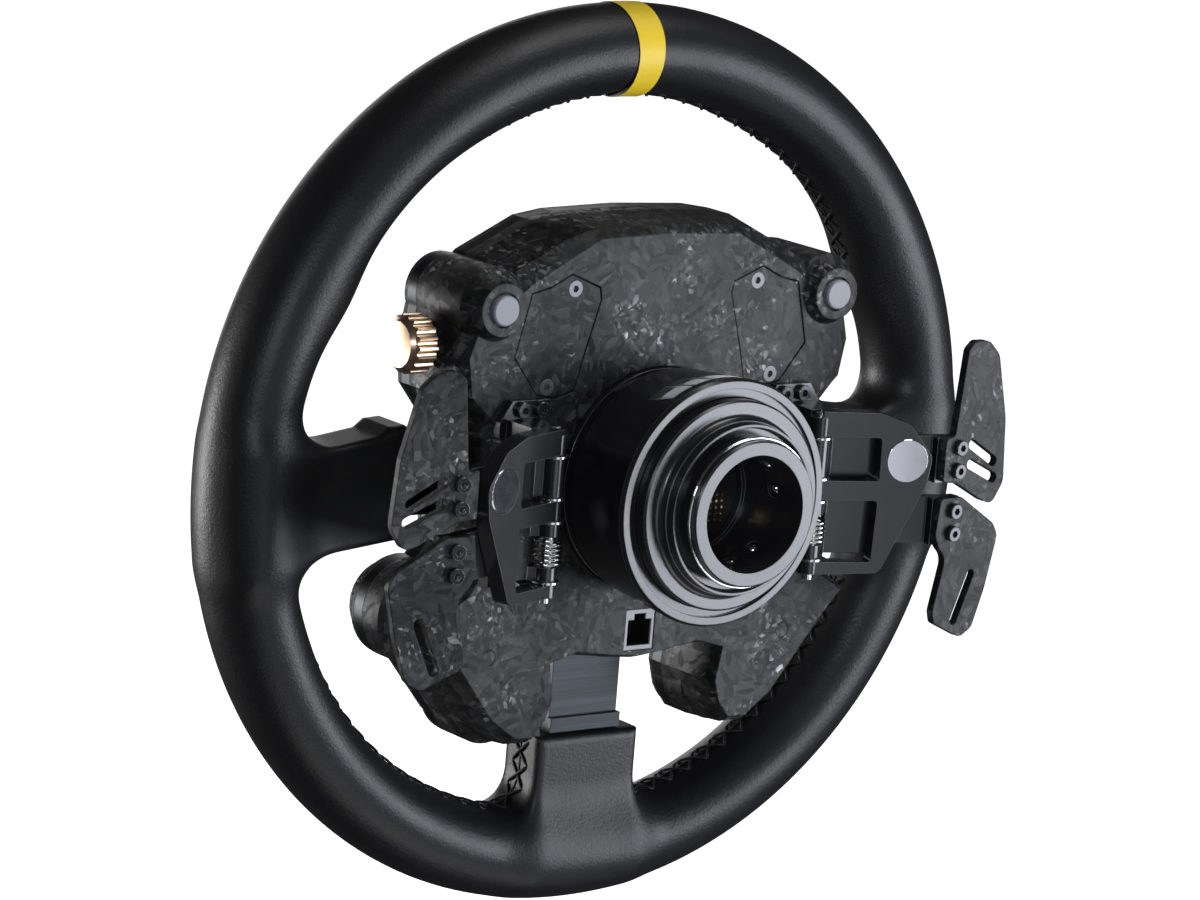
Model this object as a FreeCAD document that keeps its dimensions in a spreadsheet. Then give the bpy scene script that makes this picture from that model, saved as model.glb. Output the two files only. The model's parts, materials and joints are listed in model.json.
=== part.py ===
import FreeCAD, Part
import Sketcher
import math
import os

# A detachable racing wheel for a driving simulator, seen from the driver's seat along +Y.
#
# Frame: +X is the driver's right, +Z is up, +Y points away from the driver, into the wheel base.
# The origin is the centre of the mouth of the quick-release socket. Depths are measured from the
# mouth towards the driver, along -Y, so a depth of 60 is the plane y = -60. All sizes are in mm.

Vector = FreeCAD.Vector
UP = Vector(0, 0, 1)
STANDING = FreeCAD.Rotation(Vector(1, 0, 0), 90)
SIDES = {"right": 1, "left": -1}

document = FreeCAD.newDocument("racing_wheel")
sheet = document.addObject("Spreadsheet::Sheet", "Sizes")

SIZES = {
    # rim and its leather
    "rim_radius": 165,
    "grip_half_width": 16.7,
    "grip_half_depth": 18.4,
    "rim_depth": 98.5,
    "ring_bar_radius": 6,
    "marker_angle": 4.4,
    "marker_proud": 0.3,
    "marker_sunk": 0.9,
    "boot_start": 84.5,
    "boot_thickness": 16.5,
    # the stack of plates and the housing
    "housing_rear": 60,
    "housing_rim": 84,
    "bevel_depth": 64.5,
    "bevel_share": 0.6,
    "housing_front": 89.8,
    "housing_wall": 3.5,
    "housing_rear_wall": 5,
    "frame_thickness": 5.4,
    "faceplate_start": 95.2,
    "faceplate_thickness": 2,
    "faceplate_inset": 0.2,
    "panel_start": 60.2,
    "panel_thickness": 2.2,
    "panel_gap": 0.5,
    # pods that carry the outer controls
    "upper_pod_radius": 13.7,
    "side_pod_radius": 18.7,
    "lower_pod_radius": 16.4,
    "pod_shell": 2.6,
    # quick release
    "socket_radius": 21,
    "socket_outer_radius": 26.1,
    "socket_length": 44,
    "bore_length": 33,
    "shoulder_radius": 19.5,
    "hub_radius": 40.4,
    "hub_proud": 2.4,
    "nose_radius": 37.7,
    "collar_bore_radius": 38,
    "collar_radius": 44.5,
    "ball_radius": 2.8,
    "ball_circle": 23.85,
    "ball_depth": 17,
    # paddles
    "paddle_angle": 19.27,
    "blade_angle": 7,
    "pin_radius": 2,
    "pin_clearance": 0.05,
    "knuckle_radius": 3.9,
    "paddle_frame_thickness": 6.4,
    "arm_top": 16.2,
    "blade_thickness": 3,
    "blade_screw_radius": 1.5,
    # controls
    "button_radius": 6.6,
    "rear_button_radius": 5.4,
    "thumb_knob_radius": 10.5,
    "rotary_knob_radius": 15,
    "stick_pivot": 94,
    "stick_pin_radius": 0.6,
}

for row, (alias, value) in enumerate(SIZES.items(), start=1):
    sheet.set(f"A{row}", alias)
    sheet.set(f"B{row}", str(value))
    sheet.setAlias(f"B{row}", alias)
document.recompute()

SUB_PARTS = []


def size(alias):
    return float(sheet.get(alias))


def bind(item, **sizes):
    """Ties properties to the sheet; two underscores stand for a dot in a property's path."""
    for path, expression in sizes.items():
        item.setExpression(path.replace("__", "."), str(expression))
    return item


def sub_part(item, label):
    """Names a finished piece and puts it on the list of files to write."""
    item.Label = label
    SUB_PARTS.append(item)
    return item


# ---------------------------------------------------------------- outlines

def line(start, end):
    return Part.LineSegment(Vector(*start, 0), Vector(*end, 0))


def circle(x, z, radius):
    return Part.Circle(Vector(x, z, 0), UP, radius)


def corner_arc(centre, start, end, radius):
    """The short arc round centre from start to end, drawn anticlockwise as the sketcher wants."""
    first = math.atan2(start[1] - centre[1], start[0] - centre[0])
    last = math.atan2(end[1] - centre[1], end[0] - centre[0])
    if (last - first) % (2 * math.pi) > math.pi:
        first, last = last, first
    return Part.ArcOfCircle(circle(*centre, radius), first, last)


def outline(corners):
    """Closed outline through corners (x, z) or (x, z, rounding radius)."""
    edges = []
    ends = []
    for index, corner in enumerate(corners):
        here = Vector(corner[0], corner[1], 0)
        radius = corner[2] if len(corner) > 2 else 0
        before = Vector(*corners[index - 1][:2], 0) - here
        after = Vector(*corners[(index + 1) % len(corners)][:2], 0) - here
        if radius == 0:
            ends.append((here, here))
            continue
        half_angle = before.getAngle(after) / 2
        reach = radius / math.tan(half_angle)
        start = here + before.normalize() * reach
        end = here + after.normalize() * reach
        centre = here + (before + after).normalize() * (radius / math.sin(half_angle))
        edges.append(corner_arc(centre[:2], start[:2], end[:2], radius))
        ends.append((start, end))
    for index, (start, end) in enumerate(ends):
        following = ends[(index + 1) % len(ends)][0]
        if (following - end).Length > 1e-6:
            edges.append(line(end[:2], following[:2]))
    return edges


def rectangle(x_low, x_high, z_low, z_high, radius=0):
    corners = [(x_low, z_low), (x_high, z_low), (x_high, z_high), (x_low, z_high)]
    return outline([(x, z, radius) for x, z in corners])


def mirrored(corners, side):
    return [(side * corner[0], *corner[1:]) for corner in corners]


def both_halves(right_half):
    """A symmetric outline from its right half, listed from the top centre to the bottom centre."""
    left_half = [(-x, *rest) for x, *rest in reversed(right_half) if x > 0]
    return [tuple(corner) for corner in right_half] + left_half


# ---------------------------------------------------------------- ways of making a piece

def fill_sketch(sketch, edges):
    sketch.addGeometry(edges, False)
    for index in range(len(edges)):
        sketch.addConstraint(Sketcher.Constraint("Block", index))
    return sketch


def profile(name, edges, depth):
    """A sketch that stands upright, facing the driver, at a depth."""
    sketch = fill_sketch(document.addObject("Sketcher::SketchObject", name), edges)
    sketch.Placement = FreeCAD.Placement(Vector(), STANDING)
    return bind(sketch, Placement__Base__y=f"-({depth})")


def slab(name, edges, start, thickness):
    """An outline made thick towards the driver, starting at a depth."""
    piece = document.addObject("Part::Extrusion", name)
    piece.Base = profile(name + "_profile", edges, start)
    piece.DirMode = "Normal"
    piece.Solid = True
    return bind(piece, LengthFwd=thickness)


def drum(name, x, z, radius, start, length):
    """A round bar along the wheel's axis, from a depth towards the driver."""
    piece = document.addObject("Part::Cylinder", name)
    piece.Placement = FreeCAD.Placement(Vector(x, 0, z), STANDING)
    return bind(piece, Radius=radius, Height=length, Placement__Base__y=f"-({start})")


def fuse(name, pieces):
    joined = document.addObject("Part::MultiFuse", name)
    joined.Shapes = pieces
    joined.Refine = True
    return joined


def cut(name, base, tools):
    for index, tool in enumerate(tools):
        result = document.addObject("Part::Cut", f"{name}_cut_{index}")
        result.Base = base
        result.Tool = tool
        result.Refine = False
        base = result
    return base


def group(label, pieces):
    """Separate identical pieces that share one file."""
    gathered = document.addObject("Part::Compound", label + "_group")
    gathered.Links = pieces
    return sub_part(gathered, label)


def new_body(name, placement=None):
    body = document.addObject("PartDesign::Body", name)
    if placement:
        body.Placement = placement
    return body


def body_sketch(body, role, edges, offset=0):
    sketch = body.newObject("Sketcher::SketchObject", body.Name + "_sketch")
    plane = next(item for item in body.Origin.OriginFeatures if item.Role == role)
    sketch.AttachmentSupport = [(plane, "")]
    sketch.MapMode = "FlatFace"
    bind(sketch, AttachmentOffset__Base__z=offset)
    return fill_sketch(sketch, edges)


def pad(body, role, edges, offset, length):
    """Adds an outline's thickness: towards -Y from the XZ plane, towards +Z from the XY plane."""
    feature = body.newObject("PartDesign::Pad", body.Name + "_pad")
    feature.Profile = body_sketch(body, role, edges, offset)
    return bind(feature, Length=length)


def pocket(body, role, edges, offset, length):
    """Removes an outline's thickness, in the same direction as a pad, and checks that it did."""
    document.recompute()
    volume = body.Shape.Volume
    feature = body.newObject("PartDesign::Pocket", body.Name + "_pocket")
    feature.Profile = body_sketch(body, role, edges, offset)
    feature.Reversed = True
    bind(feature, Length=length)
    document.recompute()
    if body.Shape.Volume > volume - 0.01:
        raise RuntimeError(f"a pocket in {body.Name} removed nothing")
    return feature


def turned(name, corners, placement=None, axis="V_Axis"):
    """A turned piece from (radius, depth) corners about Y, or (x, radius) corners about X.

    A third value in a corner is its rounding radius."""
    body = new_body(name, placement)
    points = corners
    if axis == "V_Axis":
        points = [(radius, -depth, *rounding) for radius, depth, *rounding in corners]
    feature = body.newObject("PartDesign::Revolution", name + "_turning")
    sketch = body_sketch(body, "XY_Plane", outline(points))
    feature.Profile = sketch
    feature.ReferenceAxis = (sketch, [axis])
    feature.Angle = 360
    return body


def copies(label, source, placements):
    """Places copies of one modelled piece and gathers them in one file."""
    links = []
    for index, placement in enumerate(placements):
        link = document.addObject("App::Link", f"{label}_{index}")
        link.LinkedObject = source
        link.Placement = placement
        links.append(link)
    return group(label, links)


def at(x, z, depth=0):
    return FreeCAD.Placement(Vector(x, -depth, z), FreeCAD.Rotation())


# ---------------------------------------------------------------- places shared by several pieces

UPPER_POD = (73.5, 64.6)
SIDE_POD = (81.5, -48.8)
LOWER_POD = (51.6, -81.6)
FRONT_BUTTONS = [(47, 62), (60, 38), (47, -41)]
THUMB_KNOB = (78.9, 49.4)
COVER_SCREWS = [(40.3, 70.0), (49.5, 35.4)]
LOWER_SCREW = (65.5, -60.9)
HINGE = (58.6, 40.2)
BLADE_ROOT = (109.7, 22.4)
FOOT_SCREWS = (54, 62)
FOOT_SCREW_HEIGHT = 28.7
HUB_BOLT_CIRCLE = 33
REV_LIGHTS = rectangle(-38, 38, 80.5, 85.5, 2)
PORT = (-6.5, 6.5, -63.2, -48.2)

# corner pairs of the housing: where its flat rear face ends, and where its side meets the plates
HOUSING_CORNERS = [
    ((0, 88.5), (0, 93)),
    ((30.4, 87.4), (31, 92)),
    ((40, 82.4), (43.4, 90)),
    ((58.2, 72.8), (66.9, 78.5)),
    ((80, 57), (86.5, 60)),
    ((83.5, 47), (88.5, 47)),
    ((81.1, 33.4), (87, 32)),
    ((68.3, 21.2), (76, 18)),
    ((66, -22), (74, -24)),
    ((76, -38), (84, -37)),
    ((91.5, -47.5), (97, -48)),
    ((82, -58), (88, -62)),
    ((62.4, -83.5), (67, -88)),
    ((51.7, -91.5), (54, -96.5)),
    ((44, -92), (43, -96.5)),
    ((38.9, -85.7), (36.5, -88)),
    ((36.5, -78), (33.8, -78)),
    ((38.6, -65), (36.4, -63.5)),
    ((27, -61.8), (27, -65)),
    ((11.5, -64.2), (11.5, -67)),
    ((0, -65.5), (0, -68)),
]
REAR_CORNERS = both_halves([rear for rear, front in HOUSING_CORNERS])
FRONT_CORNERS = both_halves([front for rear, front in HOUSING_CORNERS])
REAR_OUTLINE = outline(REAR_CORNERS)
FRONT_OUTLINE = outline(FRONT_CORNERS)
PANEL_CORNERS = [
    (42.3, 75), (29.9, 70), (29, 65.7), (35.2, 44.6), (37.8, 33.8), (45.8, 31.6), (53.7, 33),
    (59.1, 40), (64.1, 46.5), (58.7, 68.8), (50.9, 70.6),
]


def on_both_sides(spots):
    return [(side * x, z) for side in (1, -1) for x, z in spots]


# ---------------------------------------------------------------- metal frame and leather rim

def make_wheel_frame():
    """One welded aluminium piece: the hub plate, its three spokes and the ring inside the grip."""
    thickness = "Sizes.frame_thickness"
    start = "Sizes.housing_front"
    plate = slab("hub_plate", FRONT_OUTLINE, start, thickness)
    pods = [
        drum(f"{name}_pod_plate", x, z, f"Sizes.{name}_pod_radius", start, thickness)
        for name, spot in (("upper", UPPER_POD), ("side", SIDE_POD), ("lower", LOWER_POD))
        for x, z in on_both_sides([spot])
    ]
    side_spokes = slab("side_spokes", rectangle(-146, 146, -15, 7), start, thickness)
    bottom_spoke = slab("bottom_spoke", rectangle(-15, 15, -146, -60), start, thickness)
    step = slab("spoke_step", rectangle(-15.5, 15.5, -100, -94.6), "Sizes.housing_front - 2", 2.5)
    ring = document.addObject("Part::Torus", "ring_bar")
    ring.Placement = FreeCAD.Placement(Vector(), STANDING)
    bind(ring, Radius1="Sizes.rim_radius - Sizes.grip_half_width", Radius2="Sizes.ring_bar_radius",
         Placement__Base__y="-Sizes.rim_depth")
    whole = fuse("welded_frame", [plate, *pods, side_spokes, bottom_spoke, step, ring])
    holes = [drum("cable_hole", 0, 0, 14, start, thickness)]
    holes += [drum("button_hole", x, z, "Sizes.button_radius + 1", start, thickness)
              for x, z in on_both_sides(FRONT_BUTTONS)]
    holes += [drum("stick_hole", x, z, 9, start, thickness) for x, z in on_both_sides([LOWER_POD])]
    holes += [drum("rotary_hole", x, z, 8, start, thickness) for x, z in on_both_sides([SIDE_POD])]
    holes += [drum("bolt_hole", x, z, 2.6, start, thickness) for x, z in hub_bolt_spots()]
    holes.append(slab("light_slot", REV_LIGHTS, start, thickness))
    return sub_part(cut("wheel_frame", whole, [fuse("frame_holes", holes)]), "wheel_frame")


def hub_bolt_spots():
    angles = [math.radians(30 + 60 * index) for index in range(6)]
    return [(HUB_BOLT_CIRCLE * math.cos(angle), HUB_BOLT_CIRCLE * math.sin(angle)) for angle in angles]


def grip_section(body, growth, role):
    """The grip's oval section, larger than the leather by growth, set on the rim's own circle."""
    across = size("rim_radius") - size("grip_half_width")
    wide = size("grip_half_width") + growth
    deep = size("grip_half_depth") + growth
    depth = -size("rim_depth")
    if role == "XY_Plane":
        return Part.Ellipse(Vector(across, depth + deep, 0), Vector(across + wide, depth, 0),
                            Vector(across, depth, 0))
    return Part.Ellipse(Vector(depth + deep, across, 0), Vector(depth, across + wide, 0),
                        Vector(depth, across, 0))


def make_marker():
    """The coloured leather band at twelve o'clock, inlaid flush in the grip."""
    body = new_body("marker")
    edges = [grip_section(body, size("marker_proud"), "YZ_Plane"),
             grip_section(body, -size("marker_sunk"), "YZ_Plane")]
    sketch = body_sketch(body, "YZ_Plane", edges)
    feature = body.newObject("PartDesign::Revolution", "marker_turning")
    feature.Profile = sketch
    feature.ReferenceAxis = (sketch, ["H_Axis"])
    feature.Midplane = True
    bind(feature, Angle="Sizes.marker_angle")
    return sub_part(body, "centre_marker")


def make_grip(wheel_frame, marker):
    """Foam and leather round the ring, with a boot over the outer part of each spoke."""
    rim = new_body("rim_leather")
    sketch = body_sketch(rim, "XY_Plane", [grip_section(rim, 0, "XY_Plane")])
    feature = rim.newObject("PartDesign::Revolution", "rim_turning")
    feature.Profile = sketch
    feature.ReferenceAxis = (sketch, ["V_Axis"])
    feature.Angle = 360
    side_boot = [(90, -21), (120, -24, 12), (146, -48), (146, 34), (120, 9, 12), (100, 13, 4), (90, 16)]
    bottom_boot = [(-22.5, -100.5), (-22.5, -120, 14), (-46, -138), (46, -138), (22.5, -120, 14),
                   (22.5, -100.5)]
    boots = [slab(f"side_boot_{name}", outline(mirrored(side_boot, side)),
                  "Sizes.boot_start", "Sizes.boot_thickness") for name, side in SIDES.items()]
    boots.append(slab("bottom_boot", outline(bottom_boot), "Sizes.boot_start", "Sizes.boot_thickness"))
    whole = fuse("grip_whole", [rim, *boots])
    return sub_part(cut("rim_grip", whole, [wheel_frame, marker]), "rim_grip")


# ---------------------------------------------------------------- housing, plates and board

def faceted_body():
    """The housing's facets: flat rear face, bevel round it, and sides that widen to the plates."""
    rings = []
    for share, depth in ((0, "housing_rear"), (size("bevel_share"), "bevel_depth"),
                         (1, "housing_rim"), (1, "housing_front")):
        rings.append([Vector(x + (front_x - x) * share, -size(depth), z + (front_z - z) * share)
                      for (x, z), (front_x, front_z) in zip(REAR_CORNERS, FRONT_CORNERS)])
    faces = [Part.Face(Part.makePolygon([*ring, ring[0]])) for ring in (rings[0], rings[-1])]
    for near, far in zip(rings, rings[1:]):
        for index in range(len(near)):
            first, second = near[index - 1], near[index]
            third, fourth = far[index], far[index - 1]
            for triangle in ((first, second, third), (first, third, fourth)):
                faces.append(Part.Face(Part.makePolygon([*triangle, triangle[0]])))
    shell = Part.Shell(faces)
    solid = Part.Solid(shell)
    if solid.Volume < 0:
        solid.reverse()
    return solid


def make_housing():
    """The hollow moulded body on the back of the plates, with the pods for the outer controls."""
    body = document.addObject("Part::Feature", "housing_body")
    body.Shape = faceted_body()
    body.Placement = FreeCAD.Placement()
    pieces = [body]
    for x, z in on_both_sides([UPPER_POD]):
        pieces.append(drum("upper_pod", x, z, "Sizes.upper_pod_radius", 63, "Sizes.housing_front - 63"))
        pieces.append(turned("button_boss", [(0, 55.5), (9.4, 55.5), (10.4, 58), (13.7, 63), (0, 63)],
                             at(x, z)))
    for x, z in on_both_sides([SIDE_POD]):
        pieces.append(turned("side_pod", [(0, 76), (14, 76), (18.7, 80), (18.7, 89.8), (0, 89.8)],
                             at(x, z)))
    for x, z in on_both_sides([LOWER_POD]):
        pieces.append(turned("lower_pod", [(0, 74), (12, 74), (16.4, 78.5), (16.4, 89.8), (0, 89.8)],
                             at(x, z)))
    return fuse("housing_outside", pieces)


def thumb_bar(name, start, radius, length):
    """A round bar along the thumb knob's axis, which points to the driver's right."""
    bar = document.addObject("Part::Cylinder", name)
    bar.Placement = FreeCAD.Placement(Vector(start, -THUMB_KNOB[0], THUMB_KNOB[1]),
                                      FreeCAD.Rotation(Vector(0, 1, 0), 90))
    return bind(bar, Radius=radius, Height=length)


def hollow_housing(outside, panel_cuts):
    inner = document.addObject("Part::Offset2D", "cavity_profile")
    inner.Source = profile("cavity_source", REAR_OUTLINE, "Sizes.housing_rear + Sizes.housing_rear_wall")
    inner.Join = "Intersection"
    bind(inner, Value="-Sizes.housing_wall")
    cavity = document.addObject("Part::Extrusion", "cavity")
    cavity.Base = inner
    cavity.DirMode = "Custom"
    cavity.Dir = Vector(0, -1, 0)
    cavity.Solid = True
    bind(cavity, LengthFwd="Sizes.housing_front - Sizes.housing_rear - Sizes.housing_rear_wall")
    tools = [cavity]
    tools.append(drum("hub_opening", 0, 0, "Sizes.hub_radius + 0.3", "Sizes.housing_rear", 40))
    for x, z in on_both_sides([UPPER_POD]):
        tools.append(drum("button_opening", x, z, 6.2, 55.5, 8))
        tools.append(drum("button_room", x, z, 7.6, 57.5, 32.3))
    for x, z in on_both_sides([SIDE_POD]):
        tools.append(drum("rotary_room", x, z, "Sizes.side_pod_radius - Sizes.pod_shell", 80, 9.8))
    for x, z in on_both_sides([LOWER_POD]):
        tools.append(drum("stick_room", x, z, "Sizes.lower_pod_radius - Sizes.pod_shell", 78.5, 11.3))
    tools.append(slab("port_opening", rectangle(*PORT), "Sizes.housing_rear", 20))
    for x, z in on_both_sides([(x, FOOT_SCREW_HEIGHT) for x in FOOT_SCREWS]):
        tools.append(drum("foot_thread", x, z, 1.5, "Sizes.housing_rear", 4))
    tools.append(thumb_bar("knob_shaft_hole", 72, 3.4, 20))
    tools += panel_cuts
    return cut("hollow_housing", outside, tools)


def grown(corners, growth):
    """Moves each corner away from the outline's middle, for a gap around an inset piece."""
    middle_x = sum(corner[0] for corner in corners) / len(corners)
    middle_z = sum(corner[1] for corner in corners) / len(corners)
    moved = []
    for x, z in corners:
        away = Vector(x - middle_x, z - middle_z, 0)
        away = away * (1 + growth / away.Length)
        moved.append((middle_x + away.x, middle_z + away.y))
    return moved


def make_screw_blank(name, head_radius, shank_radius, head_depth, length):
    """A countersunk screw whose flat head faces the back of the wheel, without its drive."""
    return turned(name, [(0, 0), (head_radius, 0), (shank_radius, head_depth),
                         (shank_radius, length), (0, length)])


def add_hex_drive(body, across_corners, depth):
    hexagon = [(across_corners * math.cos(math.radians(60 * index)),
                across_corners * math.sin(math.radians(60 * index))) for index in range(6)]
    pocket(body, "XZ_Plane", outline(hexagon), 0, depth)
    return body


def make_casing():
    """The housing, its two inset cover panels and the countersunk screws that hold them."""
    recesses = [slab(f"panel_recess_{name}", outline(mirrored(grown(PANEL_CORNERS, size("panel_gap")), side)),
                     "Sizes.housing_rear", "Sizes.panel_start + Sizes.panel_thickness - Sizes.housing_rear")
                for name, side in SIDES.items()]
    spots = on_both_sides(COVER_SCREWS + [LOWER_SCREW])
    head_depth = size("panel_start") - 0.1
    blank = make_screw_blank("housing_screw_blank", 3, 1.5, 1.6, 8)
    screw = add_hex_drive(make_screw_blank("housing_screw", 3, 1.5, 1.6, 8), 1.3, 1.2)
    places = [at(x, z, head_depth) for x, z in spots]
    blanks = []
    for index, placement in enumerate(places):
        link = document.addObject("App::Link", f"screw_space_{index}")
        link.LinkedObject = blank
        link.Placement = placement
        blanks.append(link)
    spaces = document.addObject("Part::Compound", "screw_spaces")
    spaces.Links = blanks
    housing = cut("screwed_housing", hollow_housing(make_housing(), recesses), [spaces])
    sub_part(housing, "controller_housing")
    copies("housing_screws", screw, places)
    for name, side in SIDES.items():
        panel = slab(f"cover_{name}", outline(mirrored(PANEL_CORNERS, side)),
                     "Sizes.panel_start", "Sizes.panel_thickness")
        sub_part(cut(f"cover_panel_{name}", panel, [spaces]), f"cover_panel_{name}")


def make_faceplate():
    """The thin carbon plate on the driver's side, with an opening for every control."""
    start = "Sizes.faceplate_start"
    thickness = "Sizes.faceplate_thickness"
    pods = [drum(f"{name}_pod_face", x, z, f"Sizes.{name}_pod_radius - Sizes.faceplate_inset", start,
                 thickness)
            for name, spot in (("upper", UPPER_POD), ("side", SIDE_POD), ("lower", LOWER_POD))
            for x, z in on_both_sides([spot])]
    whole = fuse("face_whole", [slab("face_plate", FRONT_OUTLINE, start, thickness), *pods])
    holes = [drum("face_button_hole", x, z, "Sizes.button_radius + 0.3", start, thickness)
             for x, z in on_both_sides(FRONT_BUTTONS)]
    holes += [drum("face_stick_hole", x, z, 8, start, thickness) for x, z in on_both_sides([LOWER_POD])]
    holes += [drum("face_rotary_hole", x, z, 3.5, start, thickness) for x, z in on_both_sides([SIDE_POD])]
    holes += [drum("face_bolt_hole", x, z, 2.6, start, thickness) for x, z in hub_bolt_spots()]
    holes.append(slab("face_light_slot", REV_LIGHTS, start, thickness))
    sub_part(cut("faceplate", whole, holes), "faceplate")
    sub_part(slab("rev_lights", rectangle(-37.7, 37.7, 80.8, 85.2, 1.8), "Sizes.faceplate_start - 3", 5.4),
             "rev_light_bar")


def make_circuit_board():
    """The main board just behind the hub plate, cut round the quick-release hub."""
    corners = both_halves([(0, 78), (50, 68), (72, 52), (73, 36), (60, 20), (58, -18), (66, -40),
                           (58, -73), (47, -73), (46, -58), (0, -57)])
    board = slab("board", outline(corners), 86, 1.6)
    opening = drum("board_opening", 0, 0, "Sizes.hub_radius + 1.5", 86, 1.6)
    return sub_part(cut("circuit_board", board, [opening]), "circuit_board")


# ---------------------------------------------------------------- quick release

def make_quick_release():
    """Base and nose screwed together, socket, locking balls, lock ring, spring and sliding collar."""
    hub_front = size("housing_front")
    flange = size("housing_rear") - size("hub_proud")
    nose_end = 30
    base = turned("qr_base_body", [
        (size("hub_radius"), hub_front), (size("hub_radius"), flange), (34.5, flange), (34.5, nose_end),
        (size("socket_outer_radius"), nose_end), (size("socket_outer_radius"), size("socket_length")),
        (14, size("socket_length")), (14, hub_front)])
    bolts = [drum("hub_bolt_thread", x, z, 2.5, 72, 20) for x, z in hub_bolt_spots()]
    sub_part(cut("qr_base", base, [fuse("hub_threads", bolts)]), "qr_base")
    nose = turned("qr_nose_body", [
        (30.4, nose_end), (30.4, 11.5), (size("socket_outer_radius"), 11.5),
        (size("socket_outer_radius"), 9.5), (28.8, 9.5), (29.6, 6.7), (30.5, 6.7), (30.9, 10.2),
        (31.2, 10.2), (31.5, 13.4, 2.2), (size("nose_radius") - 0.7, 13.4),
        (size("nose_radius"), 14.1), (size("nose_radius"), nose_end)])
    slots = []
    for index in range(3):
        slot = document.addObject("Part::Box", "pin_slot")
        slot.Placement = FreeCAD.Placement(
            Vector(), FreeCAD.Rotation(Vector(0, 1, 0), 120 * index + 90)).multiply(
            FreeCAD.Placement(Vector(28, -28.4, -1.7), FreeCAD.Rotation()))
        bind(slot, Length=12, Width=9.2, Height=3.4)
        slots.append(slot)
    sub_part(cut("qr_nose", nose, [fuse("pin_slots", slots)]), "qr_nose")
    make_socket()
    make_lock_ring()
    collar = turned("qr_collar_body", [
        (41, 17.7), (41, 19), (size("collar_bore_radius"), 19), (size("collar_bore_radius"), 30.4),
        (34.8, 30.4), (34.8, 35), (39.2, 35), (39.2, 51.6), (41.7, 51.6), (size("collar_radius"), 19.2),
        (size("collar_radius") - 0.9, 17.7)])
    sockets = []
    for index in range(3):
        hole = document.addObject("Part::Cylinder", "pin_socket")
        hole.Placement = pin_placement(index)
        bind(hole, Radius=1.5, Height=13)
        sockets.append(hole)
    sub_part(cut("qr_collar", collar, [fuse("pin_sockets", sockets)]), "qr_collar")
    spring = document.addObject("Part::Feature", "qr_spring_coil")
    spring.Shape = coil(36.9, 0.8, 4, 4.6)
    spring.Placement = FreeCAD.Placement(Vector(0, -37.2, 0), STANDING)
    sub_part(spring, "qr_spring")


def pin_placement(index):
    """Where a radial pin starts, at the lock ring, pointing outwards."""
    turn = FreeCAD.Rotation(Vector(0, 1, 0), 120 * index + 90)
    return FreeCAD.Placement(Vector(0, -21, 0), turn).multiply(
        FreeCAD.Placement(Vector(27.6, 0, 0), FreeCAD.Rotation(Vector(0, 1, 0), 90)))


def coil(radius, wire_radius, pitch, turns, steps=24):
    """A round wire wound about Z, starting at z = 0, in short straight lengths with mitred joints."""
    angles = [2 * math.pi * index / steps for index in range(round(turns * steps) + 1)]
    points = [Vector(radius * math.cos(angle), radius * math.sin(angle), pitch * angle / (2 * math.pi))
              for angle in angles]
    section = Part.Circle(points[0], points[1] - points[0], wire_radius).toShape()
    mitred = 1
    return Part.makePolygon(points).makePipeShell([Part.Wire(section)], True, False, mitred)


def ball_angles():
    """Balls sit in four pairs round the socket."""
    return [math.radians(65 + 90 * pair + offset) for pair in range(4) for offset in (-14, 14)]


def make_socket():
    socket = turned("qr_socket_body", [
        (size("socket_radius"), 0), (size("socket_outer_radius") - 0.6, 0),
        (size("socket_outer_radius"), 0.6), (size("socket_outer_radius"), size("socket_length")),
        (size("shoulder_radius"), size("socket_length")), (size("shoulder_radius"), size("bore_length")),
        (size("socket_radius"), size("bore_length"))])
    balls = []
    pockets = []
    for angle in ball_angles():
        outward = Vector(math.cos(angle), 0, math.sin(angle))
        ball = document.addObject("Part::Sphere", "ball")
        middle = outward * size("ball_circle") + Vector(0, -size("ball_depth"), 0)
        ball.Placement = FreeCAD.Placement(middle, FreeCAD.Rotation())
        balls.append(bind(ball, Radius="Sizes.ball_radius"))
        hole = document.addObject("Part::Cylinder", "ball_hole")
        hole.Placement = FreeCAD.Placement(outward * 19 + Vector(0, -size("ball_depth"), 0),
                                           FreeCAD.Rotation(UP, outward))
        pockets.append(bind(hole, Radius="Sizes.ball_radius + 0.1", Height=10))
    sub_part(cut("qr_socket", socket, [fuse("ball_holes", pockets)]), "qr_socket")
    group("qr_balls", balls)
    block = turned("contact_block_body", [(0, 36), (19.4, 36), (19.4, 42), (13.6, 42), (13.6, 52), (0, 52)])
    pins = [drum("contact", 2.5 * column - 12, 2.4 * line_number - 10.5, 0.5, 34.2, 6)
            for column in range(6) for line_number in range(5)]
    holes = fuse("contact_holes", pins)
    sub_part(cut("contact_block", block, [holes]), "contact_block")
    group("contact_pins", pins)


def make_lock_ring():
    """The ring that holds the balls in; three radial pins tie it to the collar outside."""
    ring = turned("lock_ring_body", [(28.6, 12), (28.6, 13.2), (27.2, 14.4), (27.2, 23.4), (30.1, 23.4),
                                     (30.1, 12)])
    pins = []
    for index in range(3):
        pin = document.addObject("Part::Cylinder", "collar_pin")
        pin.Placement = pin_placement(index)
        pins.append(bind(pin, Radius=1.5, Height=12.4))
    return sub_part(fuse("lock_ring_with_pins", [ring, *pins]), "lock_ring")


def make_data_port():
    shell = slab("port_shell", rectangle(-6.4, 6.4, -63.1, -48.3), "Sizes.housing_rear + 0.3", 16)
    cavity = slab("port_cavity", rectangle(-5.2, 5.2, -61.5, -52), "Sizes.housing_rear + 0.3", 12)
    latch = slab("port_latch", rectangle(-2.6, 2.6, -52.2, -49.8), "Sizes.housing_rear + 0.3", 12)
    return sub_part(cut("data_port", shell, [fuse("port_space", [cavity, latch])]), "data_port")


# ---------------------------------------------------------------- paddles

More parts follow.
